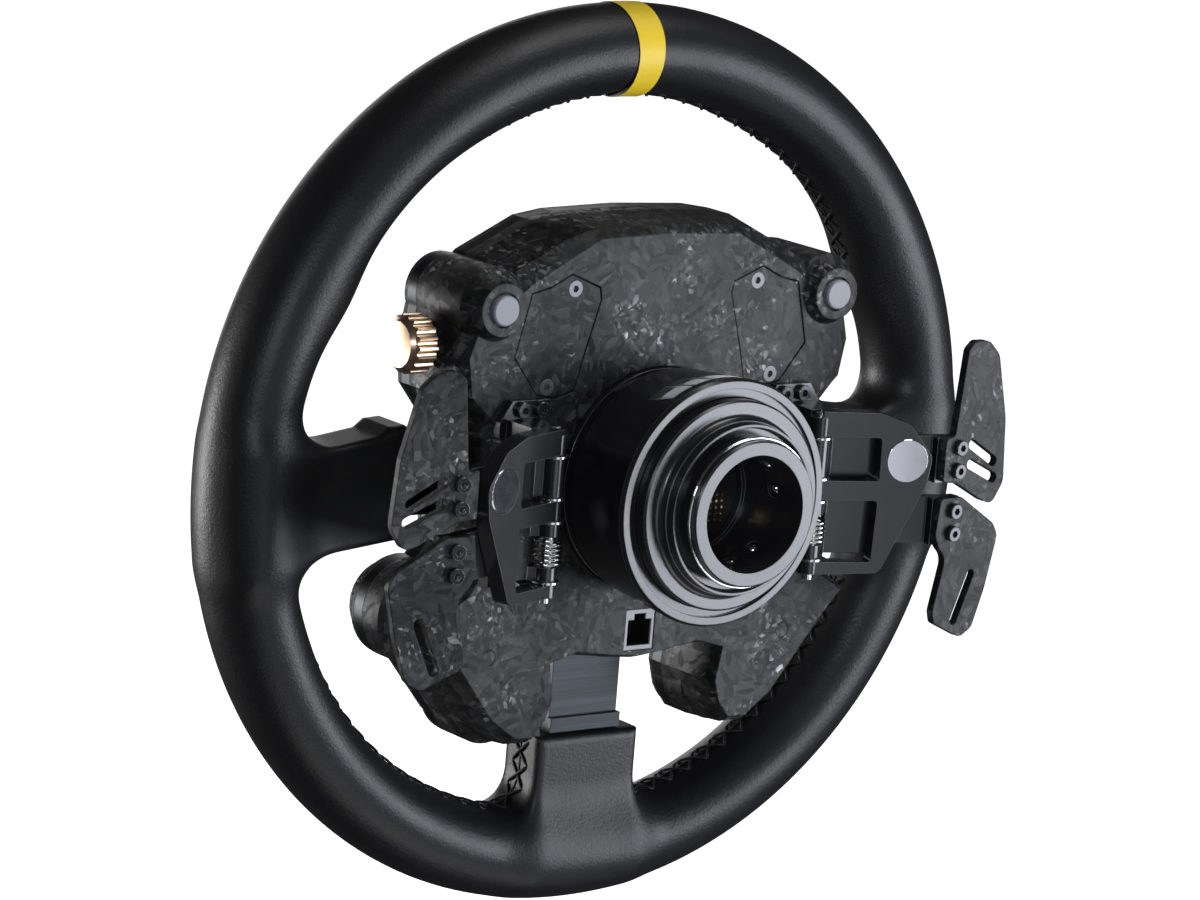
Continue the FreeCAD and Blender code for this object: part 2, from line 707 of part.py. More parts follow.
def hinge_placement(side):
    """A paddle module's own frame: origin on the hinge axis, leaning back towards the rim."""
    turn = FreeCAD.Rotation(UP, size("paddle_angle") * side)
    return FreeCAD.Placement(Vector(side * HINGE[0], -HINGE[1], 0), turn)


def blade_placement(side):
    turn = FreeCAD.Rotation(UP, -size("blade_angle") * side)
    return FreeCAD.Placement(Vector(side * BLADE_ROOT[0], -BLADE_ROOT[1], 0), turn)


FRAME_CORNERS = [
    (0, 25.8), (22, 25.6, 6), (33.5, 21.5, 5), (43, 10, 6), (41.5, -0.5, 7), (26, -33.4, 4),
    (0, -34.2), (0, -29.5), (22.5, -29.5, 1.5), (23.2, -6.6, 1.5), (0, -6.6), (0, 0.5),
    (23.2, 0.5, 1.5), (22.9, 16.6, 1.5), (0, 16.6),
]
SHIFT_BLADE = [
    (103, 16.5, 2), (107.4, 17, 2), (110.5, 48.8, 3), (114, 51.8, 3), (121, 51.5, 5), (127, 46, 6),
    (133.5, 22, 20), (135.4, -2, 7), (130, -10, 3.5), (124.8, -8.2, 2), (110, -0.5, 3), (103, 0.3, 2),
]
CLUTCH_BLADE = [
    (103, -5.8, 2), (113.5, -5.8, 3), (132, -17.3, 3), (135, -22, 5), (130.5, -42, 20), (125.5, -56, 4),
    (119.5, -59.2, 4), (105, -52.5, 2.5), (103.7, -48, 3), (108.2, -28, 6), (104, -24.3, 4), (101.5, -19, 2),
]
BLADE_SLOTS = {
    "shift": [((116.8, 13.3), (128.7, 6.3)), ((116.7, 6), (129.5, 0))],
    "clutch": [((122.3, -35.7), (115.3, -52.1))],
}
BLADE_SCREWS = {"shift": (12.8, 4.2), "clutch": (-10.7, -19.1)}


def slot_edges(start, end, radius):
    """A straight slot with round ends, between the centres of its ends."""
    along = Vector(end[0] - start[0], end[1] - start[1], 0).normalize() * radius
    across = Vector(-along.y, along.x, 0)
    first = Vector(*start, 0)
    last = Vector(*end, 0)
    corners = [first - along + across, first - along - across, last + along - across, last + along + across]
    return outline([(corner.x, corner.y, radius * 0.999) for corner in corners])


def make_paddle_frame(name, side):
    """The fixed frame: an E-shaped plate with hinge lugs, a post and a screwed foot."""
    body = new_body(f"paddle_frame_{name}_plate", hinge_placement(side))
    disc = circle(side * 33.3, 8.3, 8.05)
    pad(body, "XZ_Plane", outline(mirrored(FRAME_CORNERS, side)) + [disc], -3.6,
        "Sizes.paddle_frame_thickness")
    for low, high in ((16.6, 23.6), (-6.6, 0.5), (-34.2, -29.5)):
        pad(body, "XY_Plane", [circle(0, 0, size("knuckle_radius"))], low, high - low)
    pocket(body, "XY_Plane", [circle(0, 0, size("pin_radius"))], -36, 70)
    foot = slab(f"foot_{name}", outline(mirrored([(47, 24.5), (50.5, 32), (66, 32), (71, 24.5),
                                                  (71, 19), (47, 19)], side)), 56.6, 3.4)
    post = slab(f"post_{name}", rectangle(*sorted((side * 55.5, side * 68)), 18, 25.6), 42, 15)
    lower_post = slab(f"lower_post_{name}", rectangle(*sorted((side * 58, side * 68)), -34, -29.7), 42, 18)
    whole = fuse(f"frame_whole_{name}", [body, foot, post, lower_post])
    holes = [drum("foot_screw_hole", side * x, FOOT_SCREW_HEIGHT, 1.5, 55, 6) for x in FOOT_SCREWS]
    pin_hole = document.addObject("Part::Cylinder", "pin_hole")
    pin_hole.Placement = at(side * HINGE[0], -37, HINGE[1])
    bind(pin_hole, Radius="Sizes.pin_radius", Height=64)
    return sub_part(cut(f"paddle_frame_{name}", whole, [fuse(f"frame_holes_{name}", [*holes, pin_hole])]),
                    f"paddle_frame_{name}")


ARM_PLATE = [(6, -7.2), (52.8, -7.2), (55.95, -8.75), (57.7, -5.19), (45.5, 0.83), (45, -3.2), (6, -3.2)]
ARM_WEB = [(-1.5, -7.2), (6.5, -7.2), (6.5, -3.2), (3, -1), (-1.5, -1)]


def make_arm(kind, name, side):
    """A lever on the hinge pin: a knuckle, a flat arm in front of the frame and a tab for the blade."""
    knuckles = {"shift": [(1.6, 15.2)], "clutch": [(-12.5, -7.9), (-28.2, -23.5)]}[kind]
    plate = {"shift": (-0.4, size("arm_top")), "clutch": (-27.6, -6.2)}[kind]
    tab = {"shift": (-0.4, size("arm_top")), "clutch": (-23.5, -6.2)}[kind]
    body = new_body(f"{kind}_arm_{name}_body", hinge_placement(side))
    pad(body, "XY_Plane", outline(mirrored(ARM_PLATE, side)), tab[0], tab[1] - tab[0])
    if plate != tab:
        short = [(6, -7.2), (30, -7.2), (30, -3.2), (6, -3.2)]
        pad(body, "XY_Plane", outline(mirrored(short, side)), plate[0], plate[1] - plate[0])
    for low, high in knuckles:
        pad(body, "XY_Plane", outline(mirrored(ARM_WEB, side)), low, high - low)
        pad(body, "XY_Plane", [circle(0, 0, size("knuckle_radius"))], low, high - low)
    for low, high in knuckles:
        hole = circle(0, 0, size("pin_radius") + size("pin_clearance"))
        pocket(body, "XY_Plane", [hole], low - 0.5, high - low + 1)
    threads = []
    for z in BLADE_SCREWS[kind]:
        thread = document.addObject("Part::Cylinder", f"tab_thread_{kind}_{name}")
        thread.Placement = blade_placement(side).multiply(FreeCAD.Placement(Vector(0, 0, z), STANDING))
        threads.append(bind(thread, Radius="Sizes.blade_screw_radius", Height=12))
    return sub_part(cut(f"{kind}_arm_{name}", body, [fuse(f"tab_threads_{kind}_{name}", threads)]),
                    f"{kind}_arm_{name}")


def make_blade(kind, name, side):
    """A flat carbon finger plate with slots, screwed to the back of an arm's tab."""
    corners = {"shift": SHIFT_BLADE, "clutch": CLUTCH_BLADE}[kind]
    local = [(side * (x - BLADE_ROOT[0]), z, radius) for x, z, radius in corners]
    edges = outline(local)
    for start, end in BLADE_SLOTS[kind]:
        edges += slot_edges((side * (start[0] - BLADE_ROOT[0]), start[1]),
                            (side * (end[0] - BLADE_ROOT[0]), end[1]), 1.9)
    edges += [circle(0, z, size("blade_screw_radius")) for z in BLADE_SCREWS[kind]]
    body = new_body(f"{kind}_blade_{name}_body", blade_placement(side))
    pad(body, "XZ_Plane", edges, 0, "Sizes.blade_thickness")
    sub_part(body, f"{kind}_blade_{name}")


def make_hinge_hardware():
    pins = []
    clips = []
    for side in SIDES.values():
        pin = document.addObject("Part::Cylinder", "hinge_pin")
        pin.Placement = at(side * HINGE[0], -36.5, HINGE[1])
        pins.append(bind(pin, Radius="Sizes.pin_radius", Height=61.5))
        for low in (15.5, 0.65, -7.65, -29.25):
            disc = document.addObject("Part::Cylinder", "clip_disc")
            disc.Placement = at(side * HINGE[0], low, HINGE[1])
            clips.append(cut("clip", bind(disc, Radius=5, Height=0.8), [pin]))
    group("hinge_pins", pins)
    group("hinge_clips", clips)


def make_paddles():
    socket_head = [(0, -2.2), (2.6, -2.2), (2.9, -1.9), (2.9, 0), (1.5, 0), (1.5, 6.6), (0, 6.6)]
    screw = turned("blade_screw", socket_head)
    pocket(screw, "XZ_Plane", outline([(1.4 * math.cos(math.radians(60 * index)),
                                        1.4 * math.sin(math.radians(60 * index)))
                                       for index in range(6)]), -2.2, 1.4)
    magnets = []
    foot_screws = []
    for name, side in SIDES.items():
        make_paddle_frame(name, side)
        foot_screws += [at(side * x, FOOT_SCREW_HEIGHT, 56.6) for x in FOOT_SCREWS]
        magnet = turned(f"magnet_{name}", [(0, -3.9), (7.7, -3.9), (8.05, -3.5), (8.05, 1.5), (0, 1.5)])
        magnet.Placement = hinge_placement(side).multiply(at(side * 33.3, 8.3))
        magnets.append(magnet)
        spring = document.addObject("Part::Feature", f"clutch_spring_{name}_coil")
        spring.Shape = coil(4.6, 0.65, 1.7, 5.2)
        spring.Placement = at(side * HINGE[0], -22.4, HINGE[1])
        sub_part(spring, f"clutch_spring_{name}")
        for kind in ("shift", "clutch"):
            make_arm(kind, name, side)
            make_blade(kind, name, side)
            copies(f"{kind}_blade_screws_{name}", screw,
                   [blade_placement(side).multiply(at(0, z)) for z in BLADE_SCREWS[kind]])
    group("paddle_magnets", magnets)
    copies("paddle_frame_screws", screw, foot_screws)
    make_hinge_hardware()


# ---------------------------------------------------------------- buttons, knobs and sticks

def make_rear_buttons():
    for name, side in SIDES.items():
        corners = [(0, 53.8), (4.9, 53.8), (size("rear_button_radius"), 54.3),
                   (size("rear_button_radius"), 59.4), (6.9, 59.4), (6.9, 60.8), (0, 60.8)]
        button = turned(f"rear_button_{name}_cap", corners, at(side * UPPER_POD[0], UPPER_POD[1]))
        sub_part(button, f"rear_button_{name}")


def make_front_buttons():
    radius = size("button_radius")
    rings = []
    for name, side in SIDES.items():
        for number, (x, z) in enumerate(FRONT_BUTTONS, start=1):
            corners = [(0, 92.2), (radius + 0.6, 92.2), (radius + 0.6, 93.8), (radius, 93.8),
                       (radius, 99.8), (radius - 0.8, 100.6), (0, 100.6)]
            button = turned(f"front_button_{name}_{number}_cap", corners, at(side * x, z))
            sub_part(button, f"front_button_{name}_{number}")
            rings.append(turned(f"button_ring_{name}_{number}",
                                [(radius + 0.3, 97.2), (radius + 0.3, 99.2), (8.2, 99.2), (8.8, 98.6),
                                 (8.8, 97.2)], at(side * x, z)))
    group("button_rings", rings)


def fluted(body, role, count, circle_radius, flute_radius, offset, length):
    """Cuts one flute and repeats it round the knob."""
    first = pocket(body, role, [circle(0, circle_radius, flute_radius)], offset, length)
    pattern = body.newObject("PartDesign::PolarPattern", body.Name + "_flutes")
    pattern.Originals = [first]
    axis_role = {"XZ_Plane": "Y_Axis", "YZ_Plane": "X_Axis"}[role]
    axis = next(item for item in body.Origin.OriginFeatures if item.Role == axis_role)
    pattern.Axis = (axis, [""])
    pattern.Angle = 360
    pattern.Occurrences = count
    body.Tip = pattern
    return body


def make_thumb_knob():
    """The fluted metal knob on the driver's right; the other side has none."""
    radius = size("thumb_knob_radius")
    knob = turned("thumb_knob_body",
                  [(73.8, 0), (73.8, 3), (91, 3), (91, radius), (98.5, radius), (99.5, radius - 1.2),
                   (101, radius - 2.4), (101.6, 0)],
                  FreeCAD.Placement(Vector(0, -THUMB_KNOB[0], THUMB_KNOB[1]), FreeCAD.Rotation()), "H_Axis")
    sub_part(fluted(knob, "YZ_Plane", 18, radius + 0.9, 1.7, 91, 11), "thumb_knob")


def make_rotary_knobs():
    radius = size("rotary_knob_radius")
    for name, side in SIDES.items():
        knob = turned(f"rotary_knob_{name}_body",
                      [(0, 95.4), (3, 95.4), (3, 97.8), (radius, 97.8), (radius - 0.4, 104.2),
                       (radius - 1.4, 105.2), (0, 105.2)], at(side * SIDE_POD[0], SIDE_POD[1]))
        sub_part(fluted(knob, "XZ_Plane", 24, radius + 0.9, 1.5, 99, 8), f"rotary_knob_{name}")


def bar_across(name, centre, direction, radius, length):
    """A round bar centred on a point, along X or Z."""
    turn = FreeCAD.Rotation(UP, direction)
    bar = document.addObject("Part::Cylinder", name)
    bar.Placement = FreeCAD.Placement(centre - direction * (length / 2), turn)
    return bind(bar, Radius=radius, Height=length)


def make_joysticks():
    """A stick on a cross pin, in a gimbal ring with two stub pivots."""
    across = Vector(1, 0, 0)
    for name, side in SIDES.items():
        x, z = side * LOWER_POD[0], LOWER_POD[1]
        pivot = Vector(x, -size("stick_pivot"), z)
        body = turned(f"joystick_{name}_body",
                      [(0, 90.6), (2.4, 91.2), (3.9, 93.2), (3.9, 94.8), (2.2, 97.4), (2.2, 100.5),
                       (7, 101.5), (7.4, 103), (6.4, 104.6), (0, 104.2)], at(x, z))
        pin = bar_across(f"stick_pin_{name}", pivot, UP, size("stick_pin_radius"), 11.6)
        sub_part(fuse(f"joystick_{name}_whole", [body, pin]), f"joystick_{name}")
        ring = turned(f"gimbal_ring_{name}", [(4.4, 92.7), (6.2, 92.7), (6.2, 95.3), (4.4, 95.3)], at(x, z))
        stubs = bar_across(f"gimbal_stubs_{name}", pivot, across, 0.8, 17.6)
        bore = drum(f"gimbal_bore_{name}", x, z, 4.4, 92, 4)
        pin_hole = bar_across(f"gimbal_pin_hole_{name}", pivot, UP, size("stick_pin_radius") + 0.05, 14)
        whole = fuse(f"gimbal_{name}_whole", [ring, stubs])
        sub_part(cut(f"joystick_gimbal_{name}", whole, [bore, pin_hole]), f"joystick_gimbal_{name}")


def make_switch_bodies():
    """Switches, encoders and stick sensors on the board behind their controls."""
    bodies = []
    for x, z in on_both_sides(FRONT_BUTTONS):
        bodies.append(drum("front_switch", x, z, 3.2, 87.6, 3))
    for x, z in on_both_sides([UPPER_POD]):
        bodies.append(drum("rear_switch", x, z, 5, 62.6, 4))
    for x, z in on_both_sides([SIDE_POD]):
        bodies.append(drum("rotary_encoder", x, z, 6.5, 84, 11))
    for x, z in on_both_sides([LOWER_POD]):
        bodies.append(drum("stick_sensor", x, z, 7, 82, 7))
    bodies.append(thumb_bar("thumb_encoder", 64, 5, 9.5))
    group("switch_bodies", bodies)


def make_front_bolts():
    bolt = turned("hub_bolt", [(0, 76), (2.5, 76), (2.5, 97.2), (4.4, 97.2), (4.4, 99), (3.4, 100), (0, 100)])
    pocket(bolt, "XZ_Plane", outline([(1.6 * math.cos(math.radians(60 * index)),
                                       1.6 * math.sin(math.radians(60 * index)))
                                      for index in range(6)]), 98.4, 3)
    copies("hub_bolts", bolt, [at(x, z) for x, z in hub_bolt_spots()])
    cap = turned("centre_cap_body", [(0, 97.2), (24, 97.2), (24, 98.6), (22.8, 99.8), (0, 99.8)])
    sub_part(cap, "centre_cap")


frame_plate = make_wheel_frame()
marker_band = make_marker()
make_grip(frame_plate, marker_band)
make_casing()
make_faceplate()
make_circuit_board()
make_quick_release()
make_data_port()
make_paddles()
make_rear_buttons()
make_front_buttons()
make_thumb_knob()
make_rotary_knobs()
make_joysticks()
make_switch_bodies()
make_front_bolts()
document.recompute()

for item in document.Objects:
    if "Invalid" in item.State or "Error" in item.State:
        raise RuntimeError(f"{item.Label} failed: {item.State}")
for item in SUB_PARTS:
    if item.Shape.isNull() or not item.Shape.isValid() or not item.Shape.Solids:
        raise RuntimeError(f"{item.Label} has no valid solid")

os.makedirs("parts", exist_ok=True)
for item in SUB_PARTS:
    item.Shape.exportStep(f"parts/{item.Label}.step")
print(len(SUB_PARTS), "sub-parts written")
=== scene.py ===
import json
import math

import bmesh
import bpy
import numpy as np
from mathutils import Euler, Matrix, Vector


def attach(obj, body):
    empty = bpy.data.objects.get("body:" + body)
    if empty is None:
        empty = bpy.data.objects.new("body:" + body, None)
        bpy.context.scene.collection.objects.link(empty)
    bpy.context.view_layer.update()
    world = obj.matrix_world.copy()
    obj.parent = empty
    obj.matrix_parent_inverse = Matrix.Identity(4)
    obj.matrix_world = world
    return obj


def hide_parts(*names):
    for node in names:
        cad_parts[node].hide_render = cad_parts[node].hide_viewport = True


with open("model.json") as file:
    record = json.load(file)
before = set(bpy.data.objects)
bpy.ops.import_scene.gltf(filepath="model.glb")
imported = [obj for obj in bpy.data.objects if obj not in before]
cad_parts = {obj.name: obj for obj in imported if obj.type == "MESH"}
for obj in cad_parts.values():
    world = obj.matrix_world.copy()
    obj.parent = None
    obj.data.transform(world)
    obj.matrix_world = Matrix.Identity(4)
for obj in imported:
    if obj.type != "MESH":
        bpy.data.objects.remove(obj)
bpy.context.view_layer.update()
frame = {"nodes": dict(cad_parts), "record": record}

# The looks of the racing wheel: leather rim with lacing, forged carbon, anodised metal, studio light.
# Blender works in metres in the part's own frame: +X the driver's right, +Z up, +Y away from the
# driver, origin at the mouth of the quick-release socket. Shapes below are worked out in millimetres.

scene = bpy.context.scene
MM = 0.001

# ---------------------------------------------------------------- sizes, in millimetres

RIM_PLANE = -98.5            # y of the middle of the rim
RIM_RADIUS = 165
GRIP_HALF_WIDTH = 16.7
GRIP_HALF_DEPTH = 18.4
GRIP_CENTRE = RIM_RADIUS - GRIP_HALF_WIDTH
# bumps on the inner side of the grip: angle from the top, spread and height
GRIP_BUMPS = [(62, 7.5, 3.7), (38, 11, -1.0), (0, 22, -1.3), (142, 28, -2.2)]
BOOT_REAR = 14.0             # rear and driver's faces of the spoke covers, from the rim plane
BOOT_FRONT = -7.5
BOOT_ROUNDING = 2.6
SIDE_BOOT = [(89, -22.5), (120, -26), (150, -30), (150, 11), (120, 12), (100, 15), (96, 18), (89, 18.5)]
BOTTOM_BOOT = [(-22.5, -150), (22.5, -150), (22.5, -100.5), (-22.5, -100.5)]
FILLET = 17
VOXEL = 1.5

# locked balls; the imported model's own balls lie flush with the bore instead
BALL_RADIUS = 2.7
BALL_CIRCLE = 22.6
BALL_DEPTH = 17
PAIR_START = 65              # degrees round the socket to the middle of the first pair
PAIR_SPREAD = 14             # degrees from the middle of a pair to each ball
SNAP_RING_RADIUS = 26.6
SNAP_RING_WIRE = 0.6
SNAP_RING_DEPTH = 2.7

# the release collar's outside, as (radius, depth) at its mouth and at its driver's end
COLLAR_NEAR = (44.5, 19.2)
COLLAR_FAR = (41.7, 51.6)
MARK_DEPTHS = (22.5, 33.5)
MARK_PIECES = [(59, 12), (72.2, 9), (82.4, 17)]     # start angle and width, in degrees
MARK_SLANT = 5
MARK_PROUD = 0.06
MARK_THICKNESS = 0.05

STITCH_PITCH = 8.6
STITCH_HALF_WIDTH = 4.6
THREAD_RADIUS = 0.55
SEAM_RADIUS = 0.4
CROSSING_LIFT = 0.55         # how far the upper thread of a crossing stands over the lower one


# ---------------------------------------------------------------- camera, floor and light

def make_camera():
    camera = bpy.data.objects.new("camera", bpy.data.cameras.new("camera"))
    camera.location = (1.1103, 1.3796, 0.3823)
    camera.rotation_euler = Euler([math.radians(angle) for angle in (78.346, -4.538, 143.903)])
    camera.data.lens = 156.56
    camera.data.sensor_width = 36
    scene.collection.objects.link(camera)
    scene.camera = camera


def make_area_light(name, position, aim, size, power, tint=(1, 1, 1)):
    light = bpy.data.lights.new(name, "AREA")
    light.shape = "RECTANGLE"
    light.size, light.size_y = size
    light.energy = power
    light.color = tint
    lamp = bpy.data.objects.new(name, light)
    lamp.location = position
    lamp.rotation_euler = (Vector(aim) - Vector(position)).to_track_quat("-Z", "Y").to_euler()
    scene.collection.objects.link(lamp)
    return lamp


def only_for_camera(backing):
    """Keeps the floor and the backdrop out of the object's light, shadows and reflections."""
    backing.visible_diffuse = False
    backing.visible_glossy = False
    backing.visible_transmission = False
    backing.visible_shadow = False


def make_studio():
    """A pale floor and a white backdrop, both seen only by the camera, a dim surround and soft panels."""
    bpy.ops.mesh.primitive_plane_add(size=24, location=(0, 0, -0.45))
    floor = bpy.context.object
    floor.name = "floor"
    paint, shader = new_material("floor_paint", base_color=(0.9, 0.9, 0.9, 1), roughness=0.8)
    shader.inputs["Emission Color"].default_value = (1, 1, 1, 1)
    shader.inputs["Emission Strength"].default_value = 1.1
    floor.data.materials.append(paint)
    only_for_camera(floor)
    bpy.ops.mesh.primitive_uv_sphere_add(radius=11.9, segments=48, ring_count=24)
    backdrop = bpy.context.object
    backdrop.name = "backdrop"
    only_for_camera(backdrop)
    paint, shader = new_material("backdrop_paint", base_color=(0, 0, 0, 1), roughness=1)
    shader.inputs["Emission Color"].default_value = (1, 1, 1, 1)
    shader.inputs["Emission Strength"].default_value = 1.3
    backdrop.data.materials.append(paint)
    world = bpy.data.worlds.new("studio")
    world.use_nodes = True
    world.node_tree.nodes["Background"].inputs["Color"].default_value = (0.035, 0.035, 0.037, 1)
    scene.world = world
    scene.view_settings.view_transform = "Standard"
    cool = (0.93, 0.97, 1.06)
    make_area_light("panel_rear", (-1.0, 0.95, -0.06), (0, 0, -0.02), (0.8, 0.9), 17, cool)
    make_area_light("panel_behind", (0.2, 1.7, -0.36), (0, 0, 0), (0.7, 0.7), 2.2, cool)
    make_area_light("panel_camera", (1.15, 1.36, 0.46), (0, 0, 0), (0.3, 0.25), 6, cool)
    make_area_light("panel_side", (1.5, -0.5, -0.35), (0, 0, 0), (0.5, 0.6), 0.8)
    make_area_light("panel_left", (0.98, -1.15, -0.2), (0, -0.05, 0), (0.5, 0.6), 13)
    make_area_light("panel_top", (-0.35, 0.25, 1.25), (0, -0.05, 0), (0.7, 0.5), 4.5)
    make_area_light("panel_below", (-0.1, 0.7, -1.1), (0, 0, 0), (1.2, 0.7), 3.5)
    make_area_light("panel_driver", (-0.5, -1.6, 0.2), (0, -0.1, 0), (1.0, 0.8), 4)


# ---------------------------------------------------------------- material helpers

def new_material(name, **values):
    """A material with one Principled shader, whose named inputs are set directly."""
    material = bpy.data.materials.new(name)
    material.use_nodes = True
    shader = material.node_tree.nodes["Principled BSDF"]
    for key, value in values.items():
        socket = {"ior": "IOR", "specular": "Specular IOR Level"}.get(key, key.replace("_", " ").title())
        shader.inputs[socket].default_value = value
    return material, shader


def node(tree, kind, inputs=None, **settings):
    """One shader node; inputs may be values or the sockets of other nodes."""
    made = tree.nodes.new("ShaderNode" + kind)
    for key, value in settings.items():
        setattr(made, key, value)
    for key, value in (inputs or {}).items():
        if isinstance(value, bpy.types.NodeSocket):
            tree.links.new(value, made.inputs[key])
        else:
            made.inputs[key].default_value = value
    return made


def place(tree, stretch=(1, 1, 1)):
    """Object coordinates in metres, stretched along each axis."""
    coordinates = node(tree, "TexCoord").outputs["Object"]
    return node(tree, "Mapping", {"Vector": coordinates, "Scale": stretch}).outputs["Vector"]


def noise(tree, where, scale, detail=3.0, roughness=0.5):
    return node(tree, "TexNoise", {"Vector": where, "Scale": scale, "Detail": detail,
                                   "Roughness": roughness}).outputs["Fac"]


def spread(tree, value, low, high):
    """Maps 0 to 1 onto low to high."""
    return node(tree, "MapRange", {"Value": value, "To Min": low, "To Max": high}).outputs["Result"]


def maths(tree, operation, first, second=0.0):
    return node(tree, "Math", {0: first, 1: second}, operation=operation).outputs[0]


def ramp(tree, value, stops):
    """A colour ramp through (position, brightness or colour) stops."""
    made = node(tree, "ValToRGB", {"Fac": value})
    elements = made.color_ramp.elements
    while len(elements) < len(stops):
        elements.new(0.5)
    for element, (position, colour) in zip(elements, stops):
        element.position = position
        element.color = (*colour, 1) if isinstance(colour, tuple) else (colour, colour, colour, 1)
    return made.outputs["Color"]


def blend_colours(tree, share, first, second):
    made = node(tree, "Mix", data_type="RGBA")
    for socket, value in ((0, share), (6, first), (7, second)):
        if isinstance(value, bpy.types.NodeSocket):
            tree.links.new(value, made.inputs[socket])
        else:
            made.inputs[socket].default_value = value
    return made.outputs[2]


def bumped(tree, height, depth, strength=1.0, normal=None):
    inputs = {"Height": height, "Distance": depth, "Strength": strength}
    if normal is not None:
        inputs["Normal"] = normal
    return node(tree, "Bump", inputs).outputs["Normal"]


def rounded(tree, radius):
    """Normals that round every sharp edge by a small radius."""
    return node(tree, "Bevel", {"Radius": radius}, samples=4).outputs["Normal"]


def edge_mask(tree, soft_normal):
    """1 on a sharp edge and 0 on the open faces."""
    flat = node(tree, "NewGeometry").outputs["Normal"]
    facing = node(tree, "VectorMath", {0: flat, 1: soft_normal}, operation="DOT_PRODUCT").outputs["Value"]
    return node(tree, "MapRange", {"Value": facing, "From Min": 0.995, "From Max": 0.93}).outputs["Result"]


# ---------------------------------------------------------------- materials

def leather(name, dark, light, grain_depth=0.00016, rough=(0.36, 0.5)):
    """Fine-grained leather: small pebbles, soft creases and uneven gloss."""
    material, shader = new_material(name, specular=0.42)
    tree = material.node_tree
    where = place(tree)
    pebbles = node(tree, "TexVoronoi", {"Vector": where, "Scale": 1050.0, "Randomness": 0.9},
                   feature="SMOOTH_F1").outputs["Distance"]
    creases = noise(tree, where, 260.0, 5.0, 0.62)
    soft = noise(tree, where, 45.0, 2.0)
    height = maths(tree, "ADD", maths(tree, "MULTIPLY", pebbles, -0.55),
                   maths(tree, "MULTIPLY", creases, 0.9))
    tree.links.new(bumped(tree, height, grain_depth, 0.75), shader.inputs["Normal"])
    tree.links.new(spread(tree, soft, *rough), shader.inputs["Roughness"])
    tree.links.new(blend_colours(tree, creases, (*dark, 1), (*light, 1)), shader.inputs["Base Color"])
    return material


def marker_leather():
    """The yellow centre marker, with a dark border along each edge."""
    material = leather("marker_leather", (1.0, 0.62, 0.015), (1.0, 0.8, 0.05), 0.00008, (0.4, 0.52))
    tree = material.node_tree
    shader = tree.nodes["Principled BSDF"]
    painted = shader.inputs["Base Color"].links[0].from_socket
    where = node(tree, "SeparateXYZ", {0: place(tree)})
    turn = maths(tree, "ARCTAN2", where.outputs["X"], where.outputs["Z"])
    edge = node(tree, "MapRange", {"Value": maths(tree, "ABSOLUTE", turn), "From Min": math.radians(2.08),
                                   "From Max": math.radians(2.16)}).outputs["Result"]
    tree.links.new(blend_colours(tree, edge, painted, (0.02, 0.012, 0.006, 1)), shader.inputs["Base Color"])
    return material


def flakes(tree, stretch, scale, turn_scale, shift):
    """Chopped fibre chips: cells stretched along a direction that changes from patch to patch."""
    where = node(tree, "VectorMath", {0: place(tree), 1: shift}, operation="ADD").outputs["Vector"]
    wobble = node(tree, "TexNoise", {"Vector": where, "Scale": 90.0, "Detail": 2.0}).outputs["Color"]
    wobble = node(tree, "VectorMath", {0: wobble, "Scale": 0.0035}, operation="SCALE").outputs["Vector"]
    where = node(tree, "VectorMath", {0: where, 1: wobble}, operation="ADD").outputs["Vector"]
    patch = node(tree, "TexVoronoi", {"Vector": where, "Scale": turn_scale}).outputs["Color"]
    turn = maths(tree, "MULTIPLY", node(tree, "SeparateColor", {0: patch}).outputs[0], 2 * math.pi)
    turned = node(tree, "VectorRotate", {"Vector": where, "Axis": (0.15, 0.95, 0.25), "Angle": turn},
                  rotation_type="AXIS_ANGLE").outputs["Vector"]
    turned = node(tree, "Mapping", {"Vector": turned, "Scale": stretch}).outputs["Vector"]
    return node(tree, "TexVoronoi", {"Vector": turned, "Scale": scale, "Randomness": 1.0}).outputs["Color"]


